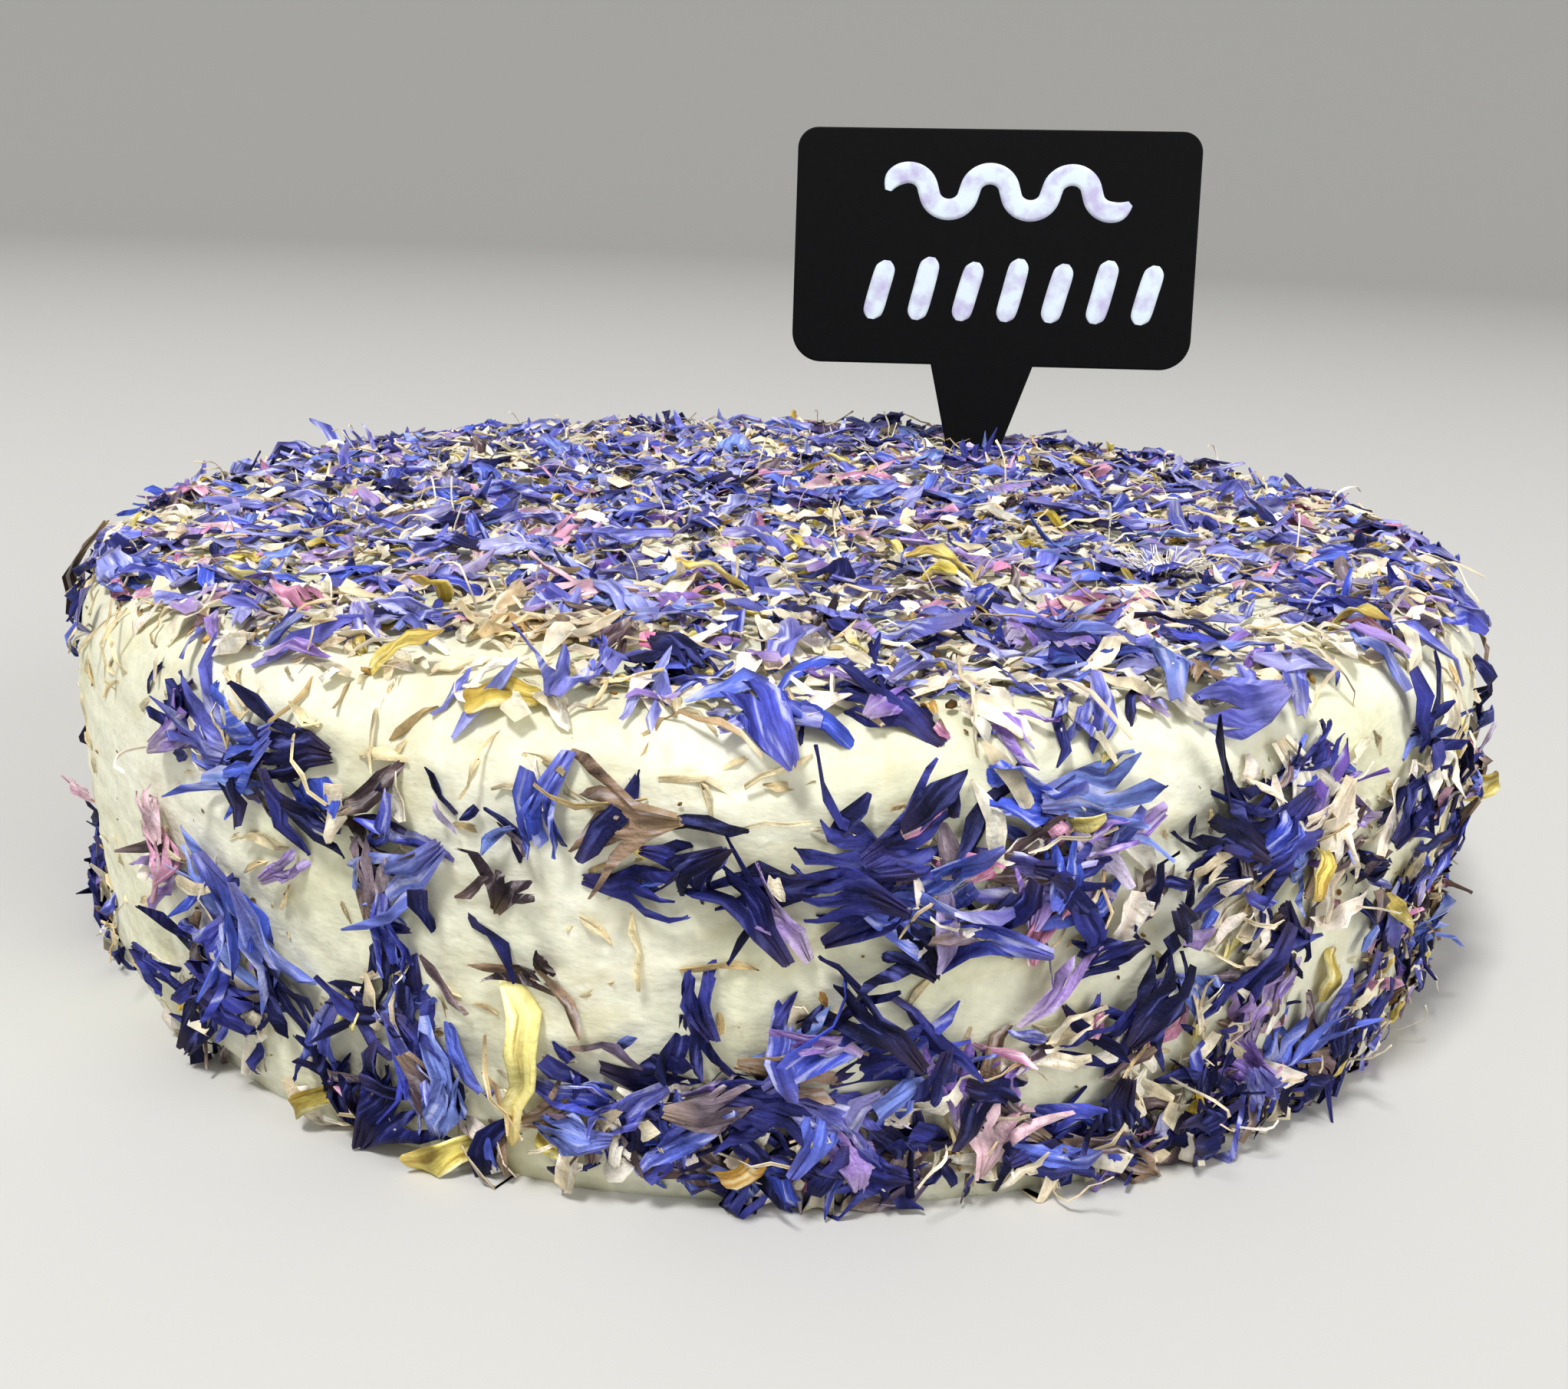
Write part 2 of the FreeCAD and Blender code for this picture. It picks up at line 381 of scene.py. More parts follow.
def rise_of_skin(along, bearing):
    """How far the uneven skin stands over the plain one there."""
    row = np.clip(along / FEEL_STEP, 0, len(feel_along) - 1.001)
    column = (bearing / FULL_TURN % 1) * FEEL_TURNS
    above = row.astype(int)
    before = column.astype(int) % FEEL_TURNS
    after = (before + 1) % FEEL_TURNS
    down = row - above
    over = column - column.astype(int)
    near = skin_rise[above, before] * (1 - over) + skin_rise[above, after] * over
    far = skin_rise[above + 1, before] * (1 - over) + skin_rise[above + 1, after] * over
    return near * (1 - down) + far * down


# ---- The florets: their shapes ----
# A cornflower's outer florets are thin tubes that open into three to six pointed lobes. Dried, they
# crease along their veins, roll up, fold flat or twist. Each shape is cut flat, pleated and then rolled.

THIN = 0.14
CELLS = 6
CELL_SIZE = 20 * MM
ASIDE = 2


def map_flat(piece):
    """Lay the pattern over the flat piece in true size, with its middle in the middle of a cell."""
    mesh = piece.data
    places = np.array([vertex.co for vertex in mesh.vertices])
    middle = (places.min(axis=0) + places.max(axis=0)) / 2
    layer = mesh.uv_layers.active or mesh.uv_layers.new()
    for corner in mesh.loops:
        place = places[corner.vertex_index] - middle
        layer.data[corner.index].uv = (0.5 + place[0] / CELL_SIZE, 0.5 + place[1] / CELL_SIZE)


def take_shape(piece):
    """The piece's points, faces and pattern as arrays. The piece itself is put away."""
    mesh = piece.data
    points = np.array([vertex.co for vertex in mesh.vertices])
    points = points - [0, points[:, 1].mean(), np.percentile(points[:, 2], 8)]
    faces = [tuple(face.vertices) for face in mesh.polygons]
    marks = mesh.uv_layers.active.data
    pattern = [[marks[corner].uv[:] for corner in face.loop_indices] for face in mesh.polygons]
    bpy.data.objects.remove(piece)
    return {"points": points, "faces": np.array(faces), "pattern": np.array(pattern)}


def lay_strip(columns, rows, pleat):
    """A flat strip in edit mode, pleated column by column. Each row of its points is given its width and
    put at its height, some way aside so that it isn't taken for a row that still waits."""
    bpy.ops.mesh.primitive_grid_add(x_subdivisions=columns, y_subdivisions=len(rows) - 1, size=1)
    piece = bpy.context.object
    edit_all()
    choose(lambda place: round((place.x + 0.5) * columns) % 2 == 1)
    bpy.ops.transform.translate(value=(0, 0, pleat))
    for number, (height, width) in reversed(list(enumerate(rows))):
        start = number / (len(rows) - 1) - 0.5
        choose(lambda place: abs(place.y - start) < 1e-4)
        bpy.ops.transform.resize(value=(width, 1, 1), center_override=(0, 0, 0))
        bpy.ops.transform.translate(value=(0, height + ASIDE - start, 0))
    bpy.ops.mesh.select_all(action="SELECT")
    bpy.ops.transform.translate(value=(0, -ASIDE, 0))
    return piece


def bend_round(piece, way, angle):
    """Bend a flat piece round its length or width: stand it on edge, bend it and lay it down again."""
    stand = (0, math.pi / 2, 0) if way == "length" else (math.pi / 2, 0, 0)
    axis = "Y" if way == "length" else "X"
    piece.rotation_euler = stand
    bpy.ops.object.transform_apply()
    bake_in("SIMPLE_DEFORM", deform_method="BEND", deform_axis=axis, angle=math.radians(angle))
    piece.rotation_euler = [-turn for turn in stand]
    bpy.ops.object.transform_apply()


def crumple_up(offset, seed):
    """Nudge all the points of the mesh that is open, at random, and close it."""
    bpy.ops.mesh.select_all(action="SELECT")
    bpy.ops.transform.vertex_random(offset=offset, seed=seed)
    bpy.ops.object.mode_set(mode="OBJECT")


def dry_out(piece, crumple, roll, flat, curl, thick, seed):
    """Crumple a flat piece, roll it round its length, press it, curl it and give it its thickness."""
    crumple_up(crumple, seed)
    map_flat(piece)
    bend_round(piece, "length", roll)
    edit_all()
    bpy.ops.transform.resize(value=(1, 1, flat))
    crumple_up(0.8 * crumple, seed + 50)
    bend_round(piece, "width", curl)
    bake_in("SOLIDIFY", thickness=thick, offset=0)
    return take_shape(piece)


def shape_floret(lobes, length, throat, mouth, cut, splay, roll, flat, curl, seed):
    """A floret with so many lobes. Its length, widths and cut are in mm and its turns in degrees."""
    length, throat, mouth, cut = (size * MM for size in (length, throat, mouth, cut))
    tube = length - cut
    width = mouth / lobes
    rows = [(0, throat), (0.6 * tube, 0.45 * (throat + mouth)), (tube, mouth)]
    piece = lay_strip(2 * lobes, rows, 0.22 * width)
    luck = default_rng(seed)
    for lobe in range(lobes):
        left = -mouth / 2 + lobe * width
        angle = math.radians(splay) * (left + width / 2) / mouth + luck.normal(0, 0.12)
        reach = cut * luck.uniform(0.65, 1.15)
        curve = luck.normal(0, 0.12)
        middle = [left + width / 2, tube, 0]
        choose(lambda place: abs(place.y - tube) < 0.01 * MM and left - 1e-6 < place.x < left + width + 1e-6)
        for share, narrow in ((0.34, 0.92), (0.38, 0.8), (0.28, 0.14)):
            step = (share * reach * math.sin(angle), share * reach * math.cos(angle), share * reach * curve)
            middle = [middle[axis] + step[axis] for axis in range(3)]
            bpy.ops.mesh.extrude_region_move(TRANSFORM_OT_translate={"value": step})
            bpy.ops.transform.resize(value=(narrow, 1, 0.9), center_override=middle)
            curve *= 1.9
            angle += luck.normal(0, 0.1)
    return dry_out(piece, 0.22 * MM, roll, flat, curl, THIN * MM, seed)


bpy.ops.object.select_all(action="DESELECT")
FLORETS = [
    shape_floret(4, 12.5, 1.6, 7, 6, 40, 110, 0.8, 18, 1),
    shape_floret(5, 13, 1.8, 8.4, 6.5, 55, -170, 0.8, -15, 2),
    shape_floret(4, 11, 1.5, 6.8, 5.5, 40, 260, 0.8, 20, 3),
    shape_floret(3, 12, 1.4, 5.4, 6.5, 40, -120, 0.9, -25, 4),
    shape_floret(5, 11.5, 1.7, 8, 5.5, 95, 60, 1, 30, 5),
    shape_floret(3, 14, 1.4, 5, 7.5, 30, 190, 0.8, 24, 6),
    shape_floret(5, 10.5, 1.7, 8, 5, 80, -230, 0.7, 20, 7),
    shape_floret(4, 9, 1.4, 6.4, 4.8, 70, 120, 0.9, -35, 8),
    shape_floret(3, 9.5, 1.2, 5, 4.6, 50, -90, 1, 30, 9),
]


# ---- Torn petals: their shapes ----
# Rubbing the dry flowers over the wheel tears most florets into single lobes and strips. They are
# pointed at one end or both, folded along the middle, and lie every way.


def strip_rows(length, width, profile):
    """Heights and widths of a strip's rows, with its width in shares from end to end."""
    steps = len(profile) - 1
    return [(length * MM * number / steps, width * MM * share) for number, share in enumerate(profile)]


def shape_strip(length, width, profile, pleat, roll, flat, curl, seed, columns=2, thick=THIN, crumple=0.16):
    """A folded strip, as a torn lobe or a scale is. Lengths are in mm and turns in degrees."""
    piece = lay_strip(columns, strip_rows(length, width, profile), pleat * (width * MM))
    return dry_out(piece, crumple * MM, roll, flat, curl, thick * MM, seed)


BLADES = [
    shape_strip(10.5, 3, (0.25, 0.75, 1, 0.9, 0.55, 0.08), 0.16, 90, 1, 25, 21),
    shape_strip(12.5, 2.3, (0.35, 0.6, 0.9, 1, 0.7, 0.1), 0.2, -120, 0.9, -25, 22),
    shape_strip(8, 2.8, (0.6, 1, 0.95, 0.7, 0.1), 0.15, -90, 1, 35, 23),
    shape_strip(9, 1.8, (0.2, 0.8, 1, 0.8, 0.12), 0.2, 150, 1, -40, 24),
    shape_strip(6, 3, (0.7, 1, 0.8, 0.3), 0.12, 70, 1, 35, 25),
    shape_strip(11.5, 3.8, (0.3, 0.6, 0.95, 1, 0.75, 0.2), 0.14, 150, 0.8, 20, 26),
]


# ---- Laying things on the wheel ----
# Handfuls of dry petals are pressed on while the paste is moist. Most lie flat, some stand off, and the
# paste stays bare where the hand missed it: in patches on the side and along the rim.

SUNK = -0.35 * MM
# the ripples of a dry petal: half height, and how fast they run along it and across, in radians a metre
SIDEWAYS = (0.34 * MM, 850)
COARSE = (0.36 * MM, 1300, 600)
FINE = (0.2 * MM, -700, 2300)
# the ways of the most even spread of spots over a square
EVEN_STEPS = (0.7548776662, 0.5698402910)


def lay(shape, where, turn, size, rise, bow, sway, twist, pitch, wave):
    """Copies of a shape, each bowed, swayed, twisted and pitched its own way, laid on the skin.
    where holds a row for each copy: on the top its x and y, on the side its bearing, its way along and 1."""
    points = shape["points"][None, :, :] * size[:, None, None]
    across, ahead, up = points[..., 0], points[..., 1], points[..., 2]
    columns = np.array([turn, rise, bow, sway, twist, pitch, wave])[..., None]
    turn, rise, bow, sway, twist, pitch, wave = columns
    spin = twist * ahead
    across, up = across * np.cos(spin) - up * np.sin(spin), across * np.sin(spin) + up * np.cos(spin)
    across = across + sway * ahead**2 + SIDEWAYS[0] * np.sin(ahead * SIDEWAYS[1] + 2 * wave)
    up = up + bow * ahead**2 + pitch * ahead + rise
    for times, (high, along_rate, across_rate) in ((1, COARSE), (3, FINE)):
        up = up + high * np.sin(ahead * along_rate + across * across_rate + times * wave)
    right = ahead * np.cos(turn) + across * np.sin(turn)
    forward = ahead * np.sin(turn) - across * np.cos(turn)
    on_side = where[:, 2:3] > 0.5
    top_x = where[:, 0:1] + right
    top_y = where[:, 1:2] + forward
    along = np.where(on_side, where[:, 1:2] - forward, np.hypot(top_x, top_y))
    bearing = np.where(on_side, where[:, 0:1] + right / RADIUS, np.arctan2(top_y, top_x))
    along = np.clip(along, 0, SKIN_END)
    places, ways = plain_skin(along, bearing)
    height = np.where(up > 0, up, SUNK * np.tanh(up / SUNK))
    places = places + ways * (height + rise_of_skin(along, bearing))[..., None]
    places[..., 2] = np.maximum(places[..., 2], NEAR)
    return places


def join_copies(name, finish, laid):
    """One piece from all that is laid: shapes, the points of their copies and their pattern cells."""
    points, faces, pattern = [], [], []
    count = 0
    for shape, places, cells in laid:
        block = shape["faces"]
        shifts = count + np.arange(len(places)) * places.shape[1]
        faces.extend((block[None] + shifts[:, None, None]).reshape(-1, block.shape[1]).tolist())
        corner_of = np.stack([cells % CELLS, cells // CELLS], axis=-1)
        pattern.append(((shape["pattern"] + corner_of[:, None, None, :]) / CELLS).reshape(-1, 2))
        points.append(places.reshape(-1, 3))
        count += len(places) * places.shape[1]
    mesh = bpy.data.meshes.new(name)
    mesh.from_pydata(np.concatenate(points), [], faces)
    mesh.uv_layers.new(name="OFBake")
    mesh.uv_layers["OFBake"].data.foreach_set("uv", np.concatenate(pattern).ravel())
    mesh.materials.append(finish)
    piece = bpy.data.objects.new(name, mesh)
    bpy.context.collection.objects.link(piece)
    bpy.ops.object.select_all(action="DESELECT")
    bpy.context.view_layer.objects.active = piece
    piece.select_set(True)
    bpy.ops.object.shade_smooth_by_angle(angle=math.radians(70))
    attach(piece, "root")


def patchy(u, v):
    """Soft patches from 0 to 1 over the unrolled side, in metres round and up."""
    luck = default_rng(5)
    total = np.zeros_like(u)
    for size in (38, 27, 19, 14):
        angle = luck.uniform(0, FULL_TURN)
        phase = luck.uniform(0, FULL_TURN)
        run = u * math.cos(angle) + v * math.sin(angle)
        total = total + np.sin(run * FULL_TURN / (size * MM) + phase)
    return 0.5 + 0.5 * np.tanh(total / 1.6)


# the bearings in degrees between which the side is listed, and the bearing, the height in mm, the half
# width in degrees and the half height in mm of each bare patch there
FRONT = (-168, -22)
BARE_SIDE = [
    (-150, 27, 15, 17), (-131, 35, 8, 5.5), (-119, 28, 5, 10), (-103, 29, 6, 9.5), (-94, 27, 5, 9),
    (-86, 36, 3, 9), (-77, 27, 6, 5.5), (-66.5, 48, 4, 6), (-66, 27, 3.5, 5), (-86, 16, 2.5, 2.5),
    (-70.5, 13, 2, 5), (-47.5, 48, 2.5, 6), (-50, 20, 4, 8), (-115, 50, 12, 4.5), (-95.5, 51.5, 8, 3.5),
    (-142, 7, 8, 6), (-161, 28, 6, 14), (-141, 44, 8, 6), (-27, 20, 3, 14), (-26, 43, 3, 6),
    (-34, 24, 4, 9), (-39, 8, 3, 4), (-31, 44, 3.5, 5), (-125, 5, 6, 4), (-110, 6, 3, 3.5),
    (-135, 15, 3, 4), (-118.5, 14, 3, 5), (-56, 33, 2.5, 3), (-44, 31, 2.5, 4), (-97, 4, 2, 2),
    (-92, 47.5, 6, 3.5),
]
# x and y of each bare patch on the top and its half widths, all in mm
BARE_TOP = [
    (-55, 45, 12, 9), (-32, -47, 11, 5), (-30, -82, 12, 17), (-42, -90, 22, 7), (66, 34, 5, 4),
    (-93, -20, 7, 14), (-16, -28, 10, 3.5), (34, -16, 7, 3), (-74, -6, 6, 6), (-6, 72, 9, 5),
    (58, -68, 6, 3),
]


def bareness(across, up, patches, core, fade):
    """How bare a place is, from 0 to 1: bare in the core of a patch, less so farther out."""
    bare = np.zeros_like(across)
    for middle, height, half_wide, half_high in patches:
        off = np.hypot((across - middle) / half_wide, (up - height) / half_high)
        bare = np.maximum(bare, np.clip(core - fade * off, 0, 1))
    return bare


def bare_side(bearing, level):
    """How bare the side is there: by the list in front, in soft patches where no list reaches."""
    degrees = (np.degrees(bearing) + 180) % 360 - 180
    bare = bareness(degrees, level / MM, BARE_SIDE, 2.6, 1.8)
    hidden = (degrees > FRONT[1]) | (degrees < FRONT[0])
    open_patch = np.clip(4 * patchy(bearing * RADIUS, level) - 2.2, 0, 1) * (level > 14 * MM)
    return np.where(hidden, open_patch, bare)


def along_at(level):
    """The way along the skin at which the side has that height."""
    steps = np.linspace(FLAT, SKIN_END, 200)
    heights = plain_skin(steps, np.zeros(1))[0][:, 2]
    return np.interp(-level, -heights, steps)


def even_spots(count, luck):
    """Spots spread evenly over a square, each nudged a little."""
    order = np.arange(count) + luck.uniform(0, 50)
    spots = np.stack([order * step % 1 for step in EVEN_STEPS], axis=-1)
    return (spots + luck.normal(0, 0.3 / math.sqrt(count), spots.shape)) % 1


def top_spots(count, luck, keep_bare):
    """Places on the top, rarer where it is bare. The last column says that they aren't on the side."""
    square = even_spots(count, luck)
    reach = (RADIUS - 2 * MM) * np.sqrt(square[:, 0])
    bearing = FULL_TURN * square[:, 1]
    x = reach * np.cos(bearing)
    y = reach * np.sin(bearing)
    kept = luck.uniform(size=count) > bareness(x / MM, y / MM, BARE_TOP, 1.9, 1.5) * (1 - keep_bare)
    return np.stack([x, y, np.zeros(count)], axis=-1)[kept]


def side_spots(count, luck, keep_bare, levels=(2, 50), bearings=(-180, 180)):
    """Places on the side, rarer where it is bare, between two levels in mm and two bearings in degrees."""
    square = even_spots(count, luck)
    bearing = np.radians(bearings[0] + (bearings[1] - bearings[0]) * square[:, 0])
    level = (levels[0] + (levels[1] - levels[0]) * square[:, 1]) * MM
    kept = luck.uniform(size=count) > bare_side(bearing, level) * (1 - keep_bare)
    return np.stack([bearing, along_at(level), np.ones(count)], axis=-1)[kept]


USUAL = (1, 0.1)


def set_by_hand(shapes, luck, side_rows, top_rows=()):
    """Copies set one by one. A row is the shape's number, its bearing and level, or x and y on the top, the
    way its tip points and, where they aren't the usual ones, its size and how far the tip stands off."""
    laid = []
    spots = [[math.radians(row[1]), along_at(row[2] * MM), 1] for row in side_rows]
    spots += [[row[1] * MM, row[2] * MM, 0] for row in top_rows]
    for spot, row in zip(spots, [*side_rows, *top_rows]):
        number, _, _, turn, size, pitch = (*row, *USUAL[len(row) - 4 :])
        places = lay(
            shapes[number], np.array([spot], dtype=float), np.radians([turn]), np.array([size]),
            luck.uniform(-0.3, 0.5, 1) * MM, luck.uniform(-4, 16, 1), luck.normal(0, 20, 1),
            luck.normal(0, 55, 1), np.array([pitch]), luck.uniform(0, FULL_TURN, 1),
        )
        laid.append((shapes[number], places, luck.integers(CELLS**2, size=1)))
    return laid


def scatter(shapes, where, luck, size, rise, bow=(-15, 35), pitch=0.1):
    """Random copies of some shapes at those places, as join_copies takes them."""
    kind = luck.integers(len(shapes), size=len(where))
    laid = []
    for number, shape in enumerate(shapes):
        spots = where[kind == number]
        many = len(spots)
        if many == 0:
            continue
        places = lay(
            shape, spots, luck.uniform(0, FULL_TURN, many), luck.uniform(*size, many),
            luck.uniform(*rise, many) * MM, luck.uniform(*bow, many), luck.normal(0, 22, many),
            luck.normal(0, 70, many), luck.normal(0, pitch, many), luck.uniform(0, FULL_TURN, many),
        )
        laid.append((shape, places, luck.integers(CELLS**2, size=many)))
    return laid


# ---- Petal tissue ----
# Dry petals are matt. The colour sits in streaks that run up each lobe and pales towards the tube, and no
# two florets faded alike. The dark vein colour is partly the veins' own and partly painted shade in the
# creases, a pale colour between the veins is a painted highlight, and soft blotches paint light and shade
# over the folds.


def petal_finish(name, tones, tube, vein_shade, ridge_highlight, vein_shade_share=0.75, roughness=0.55):
    """A finish from petal tones and the colours of the tube, of the veins and painted crease shade, and of
    the painted ridge highlights.
    """
    finish, tree, shader = new_finish(name, roughness)
    pattern = add_node(tree, "UVMap", uv_map="OFBake").outputs["UV"]
    grown = reckon(tree, "MULTIPLY", pattern, (CELLS, CELLS, 1))
    inner = reckon(tree, "FRACTION", grown)
    cell = reckon(tree, "FLOOR", grown)
    chance = add_node(tree, "TexWhiteNoise", noise_dimensions="2D", Vector=cell)
    stops = [(number / (len(tones) - 1), colour) for number, colour in enumerate(tones)]
    tone = tint(tree, chance.outputs["Value"], stops)
    apart = reckon(tree, "SCALE", chance.outputs["Color"], Scale=17)
    vein_and_crease_streaks = noise(tree, reckon(tree, "MULTIPLY_ADD", inner, (22, 2.6, 1), apart), 1, 4)
    # painted shade: the dark vein colour, partly the veins' own, also darkens the creases
    crease_shaded = blend(tree, stretch(tree, vein_and_crease_streaks, 0.5, 0.64, top=vein_shade_share), tone, pigment(*vein_shade))
    # painted highlight: a pale colour laid between the dark streaks, along the ridges
    highlighted = blend(tree, stretch(tree, vein_and_crease_streaks, 0.46, 0.34, top=0.8), crease_shaded, pigment(*ridge_highlight))
    # painted light and shade: blotches that brighten and darken the colour over the folds
    painted_fold_light = noise(tree, reckon(tree, "MULTIPLY_ADD", inner, (5, 4, 1), apart), 1, 3)
    lit = reckon(tree, "SCALE", highlighted, Scale=stretch(tree, painted_fold_light, 0.34, 0.66, 0.55, 1.55))
    from_throat = add_node(tree, "SeparateXYZ", Vector=inner).outputs["Y"]
    tubed = blend(tree, stretch(tree, from_throat, 0.05, 0.42, 0.8, 0), lit, pigment(*tube))
    tree.links.new(tubed, shader.inputs["Base Color"])
    wrinkles = emboss(tree, noise(tree, inner, 34, 3), 0.5, 0.5 * MM)
    creases = emboss(tree, vein_and_crease_streaks, 0.8, 0.6 * MM, Normal=wrinkles)
    tree.links.new(creases, shader.inputs["Normal"])
    shader.inputs["Specular IOR Level"].default_value = 0.12
    return finish


blue_finish = petal_finish(
    "blue_petal",
    [(60, 74, 186), (76, 98, 202), (104, 122, 216), (68, 72, 182), (126, 150, 224), (96, 98, 186)],
    (126, 118, 170), (30, 30, 98), (196, 200, 242),
)
soft_finish = petal_finish(
    "soft_blue_petal",
    [(98, 104, 194), (122, 126, 208), (150, 156, 222), (92, 92, 182), (166, 168, 222), (126, 120, 190)],
    (172, 162, 198), (54, 52, 136), (216, 218, 246),
)
# indigo tones: partly the petals' own dark colour, partly painted shade, the darkest ones standing in for
# the shade between petals
indigo_and_shade_finish = petal_finish(
    "indigo_petal_with_painted_shade",
    [(15, 16, 52), (28, 31, 92), (48, 51, 128), (10, 10, 34), (62, 65, 146), (22, 21, 64)],
    (78, 66, 84), (5, 5, 18), (80, 84, 150),
)
violet_finish = petal_finish(
    "violet_petal",
    [(150, 118, 192), (126, 100, 186), (176, 150, 206), (110, 84, 168), (196, 184, 216)],
    (222, 208, 212), (92, 62, 134), (206, 198, 228), vein_shade_share=0.5,
)
pink_finish = petal_finish(
    "pink_petal",
    [(206, 138, 172), (226, 172, 196), (190, 120, 160), (232, 198, 206), (204, 158, 176), (222, 120, 168)],
    (236, 214, 206), (146, 84, 124), (240, 220, 226), vein_shade_share=0.45,
)
faded_finish = petal_finish(
    "faded_petal",
    [(96, 78, 74), (140, 124, 136), (62, 50, 58), (166, 138, 106), (84, 74, 104), (120, 98, 100),
     (46, 36, 40)],
    (184, 158, 116), (40, 30, 34), (196, 184, 186), vein_shade_share=0.6,
)


# ---- The florets and torn petals on the wheel ----
# Blue petals make most of the coat. Darker indigo ones lie among them and crowd round the foot, where
# their darkness is partly painted shade. Some violet and pink kinds lie there too, and a few that browned
# as they dried. On the top they are pressed flat, on the side they lie looser.

PRESSED = {"rise": (-0.25, 0.55), "bow": (-10, 12), "pitch": 0.05}
LOOSE = {"rise": (-0.4, 0.9), "bow": (-16, 24), "pitch": 0.1}
LIFTED = {"rise": (0.4, 1.3), "bow": (0, 36), "pitch": 0.32}
SIDE_PARTS = {
    "side": {"keep_bare": 0},
    "foot": {"keep_bare": 0.1, "levels": (1.5, 11)},
    "right": {"keep_bare": 0, "levels": (3, 48), "bearings": (-88, -22)},
}


def strew(luck, shapes, size, keep_bare=0.04, **counts):
    """Random copies: so many on the top, side, foot and right of the side, or lifted off the top."""
    laid = []
    for part, count in counts.items():
        if part in SIDE_PARTS:
            spots = side_spots(count, luck, **SIDE_PARTS[part])
            manner = LOOSE
        else:
            spots = top_spots(count, luck, keep_bare)
            manner = LIFTED if part == "lifted" else PRESSED
        laid += scatter(shapes, spots, luck, size=size, **manner)
    return laid


PETALS = FLORETS + BLADES

luck = default_rng(11)
laid = set_by_hand(PETALS, luck, [
    (1, -128, 45.5, 155, 1, 0.05), (3, -117.5, 41.5, -30, 1, 0.05), (10, -111, 40, 165, 0.9, 0.05),
    (0, -112, 35, 215, 1.1), (2, -102.5, 45, -90), (5, -86, 22.5, 35, 1.15, 0.12),
    (3, -87.5, 20.5, 20, 1, 0.08), (5, -111, 12, -70, 1, 0.05), (14, -109, 14, 100, 1.1, 0.05),
    (1, -125, 24, -60, 1.15), (4, -128, 18, 240, 1.1), (3, -129, 27, 120, 1, 0.05),
    (5, -122, 22, -70, 1.1), (1, -94.5, 11, 80, 1, 0.05), (0, -82, 36, -20),
    (5, -78, 34.5, 175, 1, 0.05), (2, -76, 48.5, 175, 1.05, 0.05), (1, -71, 48, 0, 1, 0.05),
    (1, -53, 11, 60, 1.25, 0.12), (4, -49, 12, 30, 1.1, 0.12), (5, -31, 14, 0, 0.9, 0.9),
    (0, -30, 24, 60, 0.9, 0.25), (5, -118, 12, -110), (3, -72, 9, 15, 1.1), (4, -123.5, 45, 200),
    (3, -126, 42, 170), (2, -112, 28, -80, 0.9, 0.05), (1, -110.5, 13, -75, 0.9), (3, -80, 20, 20),
], [
    (9, 39, 61.5, 90, 0.5, 2), (11, 30, 64, 120, 0.7, 0.5), (4, 12, 8, 200, 1.1),
])
laid += strew(luck, FLORETS, (0.7, 1.1), top=64, side=84, foot=10, right=4, lifted=4)
laid += strew(luck, BLADES, (0.7, 1.15), top=240, side=156, foot=20, right=10, lifted=10)
laid += strew(luck, BLADES, (0.3, 0.6), top=260, side=190, foot=30, right=10)
join_copies("blue_petals", blue_finish, laid)

luck = default_rng(20)
laid = strew(luck, FLORETS, (0.7, 1.15), top=144, side=16, lifted=10)
laid += strew(luck, BLADES, (0.7, 1.2), top=380, side=24, foot=10, lifted=24)
laid += strew(luck, BLADES, (0.3, 0.6), top=420, side=30, foot=16)
join_copies("soft_blue_petals", soft_finish, laid)

luck = default_rng(12)
laid = set_by_hand(PETALS, luck, [
    (1, -120, 46, 185, 0.9), (5, -117.5, 40, -20, 0.8, 0.05), (10, -94, 45.5, 10, 0.9, 0.05),
    (3, -97, 38, -10, 0.9, 0.05), (5, -91, 38.5, 130, 1, 0.05), (10, -105.5, 30, -40, 0.75, 0.05),
    (3, -111.5, 20, -95, 1, 0.05), (0, -121, 16, -50), (6, -125, 12, 10), (2, -93.5, 27, 100, 0.85, 0.05),
    (7, -94, 20, -85, 0.9, 0.05), (10, -84.5, 26, 50, 0.8, 0.2), (3, -95.5, 16, 10, 1, 0.05),
    (1, -86, 43, 160), (2, -84, 37, 30), (6, -86, 39.5, 190), (4, -82, 45, 20, 0.9),
    (3, -82.5, 19, 15, 1, 0.05), (1, -63, 44, 150, 1.1), (4, -59, 41, 210, 1.1), (0, -62, 38.5, 190),
    (6, -66, 25, 60, 1.1), (4, -68, 21, 250), (2, -56, 27, 300), (0, -130, 47, 160, 0.85, 0.05),
    (3, -113, 24, -100), (0, -90, 15, 200),
])
# many indigo petals at the foot: painted shade, a dark band where the foot's shade falls
laid += strew(luck, FLORETS, (0.7, 1.1), top=30, side=160, foot=84, right=18, lifted=4)
laid += strew(luck, BLADES, (0.7, 1.1), top=90, side=330, foot=130, right=30, lifted=8)
laid += strew(luck, BLADES, (0.3, 0.6), top=130, side=400, foot=210, right=40)
join_copies("indigo_petals_with_painted_shade", indigo_and_shade_finish, laid)

